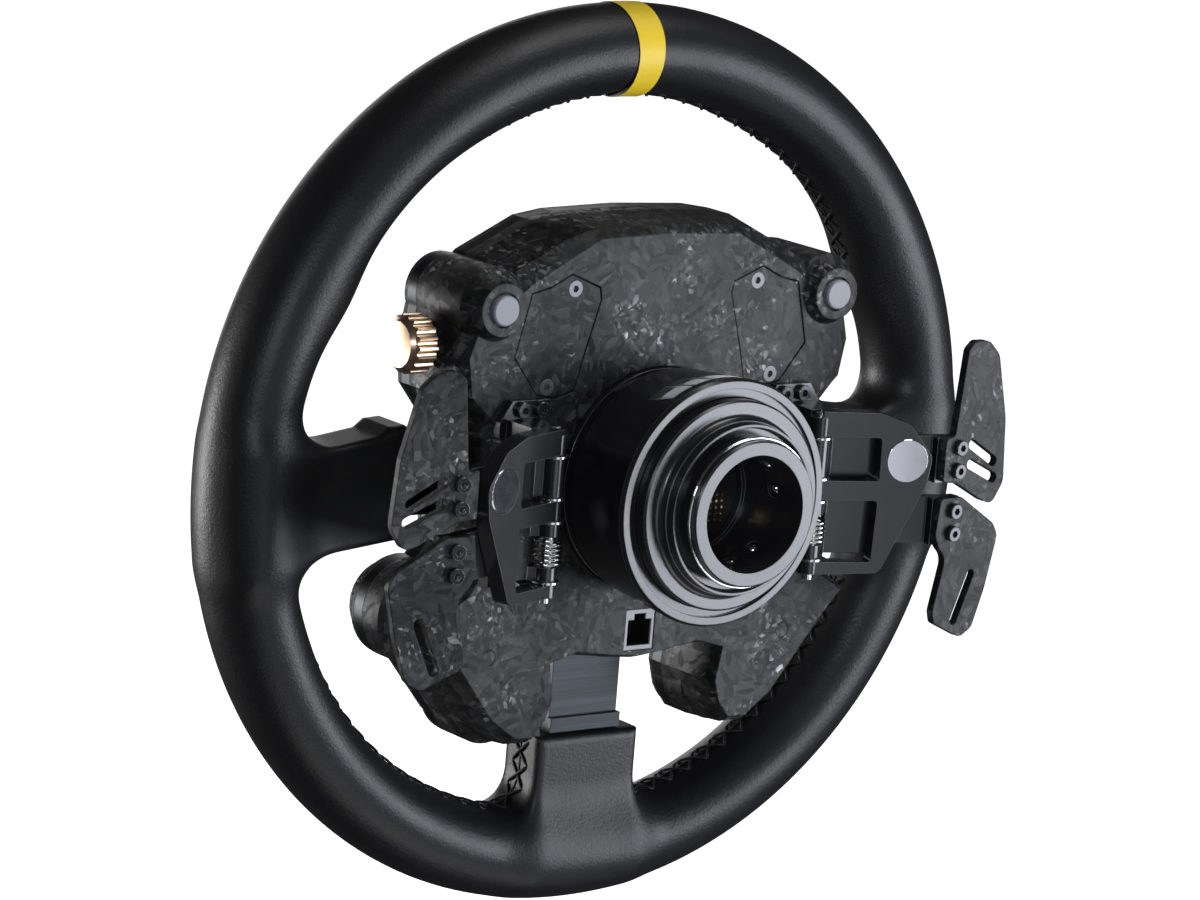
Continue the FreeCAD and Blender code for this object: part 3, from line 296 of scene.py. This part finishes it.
def forged_carbon(name, lift=1.0, edge_black=False):
    """Resin-bound carbon chips: random grey facets, each tilted a little, under a satin finish; the
    brightest chips are painted sparkle, standing in for the fibres' sheen.
    """
    material, shader = new_material(name, metallic=0.15, specular=0.3)
    tree = material.node_tree
    long_chips = flakes(tree, (1, 1, 2.6), 190.0, 120.0, (0, 0, 0))
    short_chips = flakes(tree, (1, 1, 1.8), 420.0, 210.0, (0.31, 0.17, 0.23))
    pick = noise(tree, place(tree), 55.0, 3.0, 0.6)
    long_value = node(tree, "SeparateColor", {0: long_chips}).outputs[1]
    short_value = node(tree, "SeparateColor", {0: short_chips}).outputs[1]
    deep = ramp(tree, long_value, [(0.0, 0.016 * lift), (0.5, 0.027 * lift), (0.8, 0.042 * lift),
                                   (1.0, 0.085 * lift)])
    # painted sparkle: a share of the small chips painted up to near white, standing in for the fibres'
    # sheen
    painted_glints = ramp(tree, short_value, [(0.0, 0.012 * lift), (0.6, 0.034 * lift), (0.85, 0.09 * lift),
                                      (0.95, 0.24 * lift), (1.0, 0.55 * lift)])
    share = node(tree, "MapRange", {"Value": pick, "From Min": 0.48, "From Max": 0.66}).outputs["Result"]
    colour = blend_colours(tree, share, deep, painted_glints)
    patchy = ramp(tree, noise(tree, place(tree), 24.0, 3.0), [(0.36, 0.4), (0.62, 1.15)])
    colour = node(tree, "Mix", data_type="RGBA", blend_type="MULTIPLY", inputs={
        0: 1.0, 6: colour, 7: patchy}).outputs[2]
    smooth = rounded(tree, 0.0007)
    tilt = node(tree, "VectorMath", {0: blend_colours(tree, share, long_chips, short_chips),
                                     1: (0.5, 0.5, 0.5)}, operation="SUBTRACT").outputs["Vector"]
    tilt = node(tree, "VectorMath", {0: tilt, "Scale": 0.16}, operation="SCALE").outputs["Vector"]
    normal = node(tree, "VectorMath", {0: smooth, 1: tilt}, operation="ADD").outputs["Vector"]
    normal = node(tree, "VectorMath", {0: normal}, operation="NORMALIZE").outputs["Vector"]
    if edge_black:
        colour = blend_colours(tree, edge_mask(tree, smooth), colour, (0.006, 0.006, 0.007, 1))
    tree.links.new(colour, shader.inputs["Base Color"])
    tree.links.new(normal, shader.inputs["Normal"])
    tree.links.new(spread(tree, long_value, 0.38, 0.58), shader.inputs["Roughness"])
    return material


def anodised(name, colour, rough, metallic=0.0, wear_and_highlight=0.0, radius=0.0004):
    """Bead-blasted anodised aluminium: fine frosting, a slight cloudiness, and edges made brighter, partly
    worn bare and partly a painted highlight.
    """
    material, shader = new_material(name, metallic=metallic, specular=0.75)
    tree = material.node_tree
    where = place(tree)
    smooth = rounded(tree, radius)
    frost = noise(tree, where, 3200.0, 2.0)
    cloud = noise(tree, where, 38.0, 4.0, 0.6)
    tint = blend_colours(tree, cloud, tuple(0.85 * part for part in colour) + (1,), (*colour, 1))
    if wear_and_highlight:
        # painted highlight: sharp edges blended towards pale grey, partly worn metal and partly standing in
        # for the light caught on bevelled edges
        rubbed_and_highlit = maths(tree, "MULTIPLY", edge_mask(tree, smooth), spread(tree, cloud, wear_and_highlight * 0.5, wear_and_highlight))
        tint = blend_colours(tree, rubbed_and_highlit, tint, (0.55, 0.55, 0.57, 1))
    tree.links.new(tint, shader.inputs["Base Color"])
    tree.links.new(spread(tree, cloud, rough - 0.05, rough + 0.06), shader.inputs["Roughness"])
    tree.links.new(bumped(tree, frost, 0.00002, 0.4, smooth), shader.inputs["Normal"])
    return material


def polished(name, colour, rough, grain=0.3, radius=0.0002):
    """Bare polished metal with a faint grain and dulled patches."""
    material, shader = new_material(name, metallic=1.0)
    tree = material.node_tree
    where = place(tree)
    smears = noise(tree, where, 240.0, 4.0, 0.65)
    tree.links.new(blend_colours(tree, smears, tuple(0.8 * part for part in colour) + (1,), (*colour, 1)),
                   shader.inputs["Base Color"])
    tree.links.new(spread(tree, smears, rough * 0.7, rough * 1.4), shader.inputs["Roughness"])
    tree.links.new(bumped(tree, noise(tree, where, 2600.0, 2.0), 0.00001, grain, rounded(tree, radius)),
                   shader.inputs["Normal"])
    return material


def brushed_metal():
    """Dark brushed aluminium, with its lines running across the spokes."""
    material, shader = new_material("dark_brushed_metal", metallic=1.0)
    tree = material.node_tree
    lines = noise(tree, place(tree, (14, 60, 1500)), 1.0, 3.0, 0.7)
    broad = noise(tree, place(tree, (3, 12, 260)), 1.0, 2.0)
    both = maths(tree, "MULTIPLY", lines, broad)
    tree.links.new(ramp(tree, both, [(0.05, (0.018, 0.02, 0.022)), (0.45, (0.048, 0.052, 0.055))]),
                   shader.inputs["Base Color"])
    tree.links.new(spread(tree, lines, 0.28, 0.46), shader.inputs["Roughness"])
    tree.links.new(bumped(tree, lines, 0.00003, 0.6, rounded(tree, 0.0005)), shader.inputs["Normal"])
    return material


def moulded(name, colour, rough, grain=0.00003, metallic=0.0, radius=0.0004):
    """Moulded plastic or rubber with a fine spark-eroded grain."""
    material, shader = new_material(name, metallic=metallic, specular=0.45)
    tree = material.node_tree
    where = place(tree)
    grit = noise(tree, where, 1900.0, 3.0, 0.6)
    soft = noise(tree, where, 70.0, 3.0)
    tree.links.new(blend_colours(tree, soft, tuple(0.82 * part for part in colour) + (1,), (*colour, 1)),
                   shader.inputs["Base Color"])
    tree.links.new(spread(tree, soft, rough - 0.06, rough + 0.06), shader.inputs["Roughness"])
    tree.links.new(bumped(tree, grit, grain, 0.6, rounded(tree, radius)), shader.inputs["Normal"])
    return material


def port_plastic():
    """The data socket: a pale rim round a black opening."""
    material = moulded("port_plastic", (0.012, 0.012, 0.013), 0.4)
    tree = material.node_tree
    shader = tree.nodes["Principled BSDF"]
    dark = shader.inputs["Base Color"].links[0].from_socket
    depth = node(tree, "SeparateXYZ", {0: place(tree)}).outputs["Y"]
    near = node(tree, "MapRange", {"Value": depth, "From Min": -0.0612,
                                   "From Max": -0.0609}).outputs["Result"]
    tree.links.new(blend_colours(tree, near, dark, (0.36, 0.37, 0.38, 1)), shader.inputs["Base Color"])
    return material


def circuit_board():
    """Green board with paler copper tracks under the lacquer."""
    material, shader = new_material("board_green", roughness=0.35)
    tree = material.node_tree
    where = place(tree)
    tracks = node(tree, "TexBrick", {"Vector": node(tree, "Mapping", {
        "Vector": where, "Rotation": (math.radians(90), 0, 0)}).outputs["Vector"], "Scale": 150.0,
        "Mortar Size": 0.08, "Color1": (0.004, 0.05, 0.02, 1), "Color2": (0.006, 0.065, 0.026, 1),
        "Mortar": (0.03, 0.14, 0.05, 1)}).outputs["Color"]
    tree.links.new(tracks, shader.inputs["Base Color"])
    return material


def light_lens():
    """Smoked lens of the shift lights, with a row of faint round lamps behind it."""
    material, shader = new_material("light_lens", roughness=0.16, specular=0.6)
    tree = material.node_tree
    across = node(tree, "SeparateXYZ", {0: place(tree)}).outputs["X"]
    step = maths(tree, "ABSOLUTE", maths(tree, "SUBTRACT", maths(tree, "FRACT", maths(
        tree, "MULTIPLY", across, 1 / 0.0075)), 0.5))
    lamp = node(tree, "MapRange", {"Value": step, "From Min": 0.32, "From Max": 0.24}).outputs["Result"]
    tree.links.new(blend_colours(tree, lamp, (0.008, 0.008, 0.01, 1), (0.09, 0.1, 0.11, 1)),
                   shader.inputs["Base Color"])
    return material


def make_materials():
    """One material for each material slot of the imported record."""
    black = (0.018, 0.018, 0.02)
    return {
        "leather": leather("black_leather", (0.006, 0.006, 0.007), (0.013, 0.013, 0.014)),
        "marker_leather": marker_leather(),
        "dark_brushed_metal": brushed_metal(),
        "forged_carbon": forged_carbon("forged_carbon", 0.85),
        "blade_carbon": forged_carbon("blade_carbon", 0.95, edge_black=True),
        "black_anodised": anodised("black_anodised", (0.014, 0.014, 0.016), 0.24, wear_and_highlight=0.3),
        "grey_anodised": anodised("grey_anodised", (0.022, 0.022, 0.025), 0.24, wear_and_highlight=0.3),
        "steel": polished("steel", (0.62, 0.62, 0.64), 0.22),
        "spring_steel": polished("spring_steel", (0.6, 0.6, 0.6), 0.16),
        "ball_chrome": polished("ball_chrome", (0.85, 0.86, 0.88), 0.06),
        "contact_gold": polished("contact_gold", (0.85, 0.6, 0.22), 0.2),
        "knob_gold": polished("knob_gold", (0.95, 0.68, 0.46), 0.28, grain=0.03),
        "magnet_grey": polished("magnet_grey", (0.66, 0.66, 0.7), 0.13, grain=0.02),
        "screw_black": anodised("screw_black", (0.05, 0.05, 0.053), 0.2, metallic=0.6, wear_and_highlight=0.9,
                                radius=0.0002),
        "screw_grey": anodised("screw_grey", (0.11, 0.11, 0.12), 0.34, wear_and_highlight=0.4, radius=0.0002),
        "board_green": circuit_board(),
        "component_black": moulded("component_black", black, 0.45),
        "button_grey": moulded("button_grey", (0.33, 0.34, 0.37), 0.42, 0.00001),
        "button_dark": moulded("button_dark", (0.025, 0.025, 0.028), 0.45),
        "ring_black": anodised("ring_black", (0.015, 0.015, 0.016), 0.28, wear_and_highlight=0.3),
        "knob_black": moulded("knob_black", (0.008, 0.008, 0.009), 0.55, 0.00001),
        "light_lens": light_lens(),
        "port_plastic": port_plastic(),
        "thread_black": moulded("thread_black", (0.006, 0.006, 0.006), 0.55, 0.00006),
        "mark_grey": moulded("mark_grey", (0.85, 0.85, 0.87), 0.5, 0.00001),
    }


def paint_cad_nodes(materials):
    """Every CAD node gets the better material of its slot."""
    special = {"data_port": "port_plastic"}
    for node_name, piece in frame["nodes"].items():
        slot = next(part["material_slot"] for part in frame["record"]["subparts"]
                    if part["node"] == node_name)
        if "_blade_" in node_name and "screws" not in node_name:
            slot = "blade_carbon"
        material = materials[special.get(node_name, slot)]
        if not piece.material_slots:
            piece.data.materials.append(material)
        for index in range(len(piece.material_slots)):
            piece.material_slots[index].material = material


# ---------------------------------------------------------------- leather rim, as a distance field

def polygon_distance(points, corners):
    """Signed distance from 2-D points to a closed polygon, negative inside."""
    nearest = np.full(len(points), 1e9)
    inside = np.zeros(len(points), bool)
    for start, end in zip(corners, corners[1:] + corners[:1]):
        start, end = np.array(start, float), np.array(end, float)
        edge = end - start
        offset = points - start
        share = np.clip(offset @ edge / (edge @ edge), 0, 1)
        nearest = np.minimum(nearest, np.linalg.norm(offset - share[:, None] * edge, axis=1))
        crosses = (points[:, 1] >= start[1]) != (points[:, 1] >= end[1])
        if edge[1] != 0:
            inside ^= crosses & (points[:, 0] < start[0] + edge[0] * (points[:, 1] - start[1]) / edge[1])
    return np.where(inside, -nearest, nearest)


def boot_distance(points, corners):
    """Signed distance to a spoke cover with rounded edges."""
    outline = polygon_distance(points[:, [0, 2]], corners) + BOOT_ROUNDING
    middle = (BOOT_REAR + BOOT_FRONT) / 2
    across = np.abs(points[:, 1] - middle) - (BOOT_REAR - BOOT_FRONT) / 2 + BOOT_ROUNDING
    outside = np.hypot(np.maximum(outline, 0), np.maximum(across, 0))
    return outside + np.minimum(np.maximum(outline, across), 0) - BOOT_ROUNDING


def grip_distance(points):
    """Signed distance to the round grip, which swells inwards under the thumbs."""
    angle = np.degrees(np.arctan2(np.abs(points[:, 0]), points[:, 2]))
    swell = sum(height * np.exp(-((angle - at) / spread_angle) ** 2)
                for at, spread_angle, height in GRIP_BUMPS)
    outward = np.hypot(points[:, 0], points[:, 2]) - GRIP_CENTRE
    half_width = np.where(outward < 0, GRIP_HALF_WIDTH + swell, GRIP_HALF_WIDTH)
    return (np.hypot(outward / half_width, points[:, 1] / GRIP_HALF_DEPTH) - 1) * GRIP_HALF_WIDTH


def rim_distance(points):
    """Grip and spoke covers joined with a smooth fillet; millimetres, from the rim's centre."""
    folded = points.copy()
    folded[:, 0] = np.abs(folded[:, 0])
    grip = grip_distance(points)
    boots = np.minimum(boot_distance(folded, SIDE_BOOT), boot_distance(points, BOTTOM_BOOT))
    share = np.maximum(FILLET - np.abs(grip - boots), 0) / FILLET
    return np.minimum(grip, boots) - share ** 2 * FILLET / 4


def rim_slope(points):
    step = 0.02
    columns = []
    for axis in range(3):
        shift = np.zeros(3)
        shift[axis] = step
        columns.append((rim_distance(points + shift) - rim_distance(points - shift)) / (2 * step))
    return np.stack(columns, axis=1)


def onto_rim(points, rounds=8):
    """Moves points to the leather's surface; also returns the outward directions there."""
    points = np.array(points, float)
    for _ in range(rounds):
        slope = rim_slope(points)
        size = np.maximum(np.linalg.norm(slope, axis=1), 0.2)
        move = np.clip(rim_distance(points) / size, -2, 2)
        points -= slope / size[:, None] * move[:, None]
    slope = rim_slope(points)
    return points, slope / np.linalg.norm(slope, axis=1)[:, None]


def to_world(points):
    """From millimetres about the rim's centre to metres in the part's frame."""
    return (np.asarray(points) + np.array([0, RIM_PLANE, 0])) * MM


def make_object(name, mesh, material, body, smooth=True):
    piece = bpy.data.objects.new(name, mesh)
    scene.collection.objects.link(piece)
    mesh.materials.append(material)
    for face in mesh.polygons:
        face.use_smooth = smooth
    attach(piece, body)
    return piece


def make_rim(materials):
    """The grip and its three spoke covers as one skin of leather."""
    form = bmesh.new()
    around, section = 240, 36
    rows = []
    for turn in range(around):
        angle = 2 * math.pi * turn / around
        row = []
        for step in range(section):
            lean = 2 * math.pi * step / section
            radius = GRIP_CENTRE + GRIP_HALF_WIDTH * math.cos(lean)
            row.append(form.verts.new((radius * math.sin(angle), GRIP_HALF_DEPTH * math.sin(lean),
                                       radius * math.cos(angle))))
        rows.append(row)
    for turn in range(around):
        for step in range(section):
            ahead, beside = (turn + 1) % around, (step + 1) % section
            form.faces.new((rows[turn][step], rows[turn][beside], rows[ahead][beside], rows[ahead][step]))
    mirrored_boot = [(-x, z) for x, z in reversed(SIDE_BOOT)]
    for corners in (SIDE_BOOT, mirrored_boot, BOTTOM_BOOT):
        rear = [form.verts.new((x, BOOT_REAR, z)) for x, z in corners]
        front = [form.verts.new((x, BOOT_FRONT, z)) for x, z in corners]
        form.faces.new(rear)
        form.faces.new(list(reversed(front)))
        for index in range(len(corners)):
            after = (index + 1) % len(corners)
            form.faces.new((rear[index], front[index], front[after], rear[after]))
    bmesh.ops.recalc_face_normals(form, faces=form.faces)
    rough = bpy.data.meshes.new("rim_rough")
    form.to_mesh(rough)
    form.free()
    shell = bpy.data.objects.new("rim_rough", rough)
    scene.collection.objects.link(shell)
    remesh = shell.modifiers.new("voxels", "REMESH")
    remesh.mode = "VOXEL"
    remesh.voxel_size = VOXEL
    graph = bpy.context.evaluated_depsgraph_get()
    mesh = bpy.data.meshes.new_from_object(shell.evaluated_get(graph))
    bpy.data.objects.remove(shell)
    points = np.zeros(len(mesh.vertices) * 3)
    mesh.vertices.foreach_get("co", points)
    points, _ = onto_rim(points.reshape(-1, 3))
    mesh.vertices.foreach_set("co", to_world(points).ravel())
    mesh.name = "leather_rim"
    piece = make_object("leather_rim", mesh, materials["leather"], "wheel")
    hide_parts("rim_grip")


# ---------------------------------------------------------------- lacing

def lacing_routes():
    """Where the leather's edges meet: along the inside of the rim and down the spoke covers' sides."""
    inner = GRIP_CENTRE - GRIP_HALF_WIDTH
    middle = (BOOT_REAR + BOOT_FRONT) / 2

    def arc(start, end):
        return [(inner * math.sin(math.radians(angle)), 0, inner * math.cos(math.radians(angle)))
                for angle in range(start, end, 3)]

    top = list(reversed(arc(0, 62)))
    top = top + [(-x, y, z) for x, y, z in reversed(top[:-1])]
    lower = arc(114, 163)
    lower += [(30, middle * 0.5, -124), (24.5, middle, -116), (24, middle, -103.5)]
    return [top, lower, [(-x, y, z) for x, y, z in lower]]


def even_steps(route, spacing):
    """Points spread evenly along a route."""
    route = np.array(route, float)
    lengths = np.r_[0, np.cumsum(np.linalg.norm(np.diff(route, axis=0), axis=1))]
    count = max(2, round(lengths[-1] / spacing))
    marks = np.linspace(0, lengths[-1], count + 1)
    return np.stack([np.interp(marks, lengths, route[:, axis]) for axis in range(3)], axis=1)


def add_tube(form, centres, normals, radius, sides=6):
    """A closed round tube along a list of points."""
    centres = np.asarray(centres)
    headings = np.gradient(centres, axis=0)
    rings = []
    for centre, heading, normal in zip(centres, headings, normals):
        heading = heading / np.linalg.norm(heading)
        side = np.cross(heading, normal)
        side /= np.linalg.norm(side)
        lift = np.cross(side, heading)
        rings.append([form.verts.new(centre + radius * (side * math.cos(2 * math.pi * k / sides)
                                                        + lift * math.sin(2 * math.pi * k / sides)))
                      for k in range(sides)])
    for ring, following in zip(rings, rings[1:]):
        for k in range(sides):
            form.faces.new((ring[k], ring[(k + 1) % sides], following[(k + 1) % sides], following[k]))
    form.faces.new(list(reversed(rings[0])))
    form.faces.new(rings[-1])


def make_lacing(materials):
    """Crossed threads that pull the leather's edges together, over a thin dark seam."""
    form = bmesh.new()
    for route in lacing_routes():
        dense, _ = onto_rim(even_steps(route, 1.2))
        stations = even_steps(dense, STITCH_PITCH)
        stations, outward = onto_rim(stations)
        along = np.gradient(stations, axis=0)
        across = np.cross(along, outward)
        across /= np.linalg.norm(across, axis=1)[:, None]
        seam, seam_out = onto_rim(even_steps(dense, 3))
        add_tube(form, seam, seam_out, SEAM_RADIUS)
        for index in range(len(stations) - 1):
            for side, lift in ((1, 0.0), (-1, CROSSING_LIFT)):
                shares = np.linspace(0, 1, 7)
                middle = stations[index] + shares[:, None] * (stations[index + 1] - stations[index])
                swing = side * STITCH_HALF_WIDTH * (1 - 2 * shares)
                points = middle + swing[:, None] * (across[index] + across[index + 1]) / 2
                points, facing = onto_rim(points)
                arch = THREAD_RADIUS * 0.55 + lift * np.sin(math.pi * shares)
                arch[[0, -1]] = -THREAD_RADIUS * 0.8
                add_tube(form, points + facing * arch[:, None], facing, THREAD_RADIUS)
    bmesh.ops.recalc_face_normals(form, faces=form.faces)
    for vertex in form.verts:
        vertex.co = to_world(np.array(vertex.co))
    mesh = bpy.data.meshes.new("rim_lacing")
    form.to_mesh(mesh)
    form.free()
    piece = make_object("rim_lacing", mesh, materials["thread_black"], "wheel")


# ---------------------------------------------------------------- quick-release details

def make_ring(name, radius, wire, depth, material, body):
    """A thin turned ring about the socket's axis."""
    form = bmesh.new()
    around, sides = 160, 12
    rows = []
    for turn in range(around):
        angle = 2 * math.pi * turn / around
        rows.append([form.verts.new((
            (radius + wire * math.cos(2 * math.pi * k / sides)) * math.cos(angle) * MM,
            (-depth + wire * math.sin(2 * math.pi * k / sides)) * MM,
            (radius + wire * math.cos(2 * math.pi * k / sides)) * math.sin(angle) * MM))
            for k in range(sides)])
    for turn in range(around):
        for k in range(sides):
            form.faces.new((rows[turn][k], rows[turn][(k + 1) % sides],
                            rows[(turn + 1) % around][(k + 1) % sides], rows[(turn + 1) % around][k]))
    bmesh.ops.recalc_face_normals(form, faces=form.faces)
    mesh = bpy.data.meshes.new(name)
    form.to_mesh(mesh)
    form.free()
    return make_object(name, mesh, material, body)


def make_balls(materials):
    """Chrome locking balls that stand a little into the bore, where they grip a shaft."""
    form = bmesh.new()
    for pair in range(4):
        for lean in (-PAIR_SPREAD, PAIR_SPREAD):
            angle = math.radians(PAIR_START + 90 * pair + lean)
            made = bmesh.ops.create_icosphere(form, subdivisions=4, radius=BALL_RADIUS * MM)
            shift = Vector((BALL_CIRCLE * math.cos(angle), -BALL_DEPTH, BALL_CIRCLE * math.sin(angle))) * MM
            bmesh.ops.translate(form, verts=made["verts"], vec=shift)
    mesh = bpy.data.meshes.new("locking_balls")
    form.to_mesh(mesh)
    form.free()
    piece = make_object("locking_balls", mesh, materials["ball_chrome"], "wheel")
    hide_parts("qr_balls")


def make_collar_mark(materials):
    """A plain printed mark near the collar's mouth: a band cut by two slanted gaps."""
    form = bmesh.new()

    def on_collar(angle, depth):
        share = (depth - COLLAR_NEAR[1]) / (COLLAR_FAR[1] - COLLAR_NEAR[1])
        radius = COLLAR_NEAR[0] + (COLLAR_FAR[0] - COLLAR_NEAR[0]) * share + MARK_PROUD
        return form.verts.new((radius * math.cos(angle) * MM, -depth * MM, radius * math.sin(angle) * MM))

    first, last = MARK_DEPTHS
    steps = 6
    for start, width in MARK_PIECES:
        low = [on_collar(math.radians(start + width * k / steps), first) for k in range(steps + 1)]
        high = [on_collar(math.radians(start - MARK_SLANT + width * k / steps), last)
                for k in range(steps + 1)]
        for k in range(steps):
            form.faces.new((low[k], low[k + 1], high[k + 1], high[k]))
    bmesh.ops.recalc_face_normals(form, faces=form.faces)
    mesh = bpy.data.meshes.new("collar_mark")
    form.to_mesh(mesh)
    form.free()
    thick = make_object("collar_mark", mesh, materials["mark_grey"], "release_collar")
    solid = thick.modifiers.new("film", "SOLIDIFY")
    solid.thickness = MARK_THICKNESS * MM
    solid.offset = 0


# ---------------------------------------------------------------- everything

make_camera()
make_studio()
palette = make_materials()
paint_cad_nodes(palette)
make_rim(palette)
make_lacing(palette)
make_ring("socket_snap_ring", SNAP_RING_RADIUS, SNAP_RING_WIRE, SNAP_RING_DEPTH,
          palette["ball_chrome"], "wheel")
make_balls(palette)
make_collar_mark(palette)
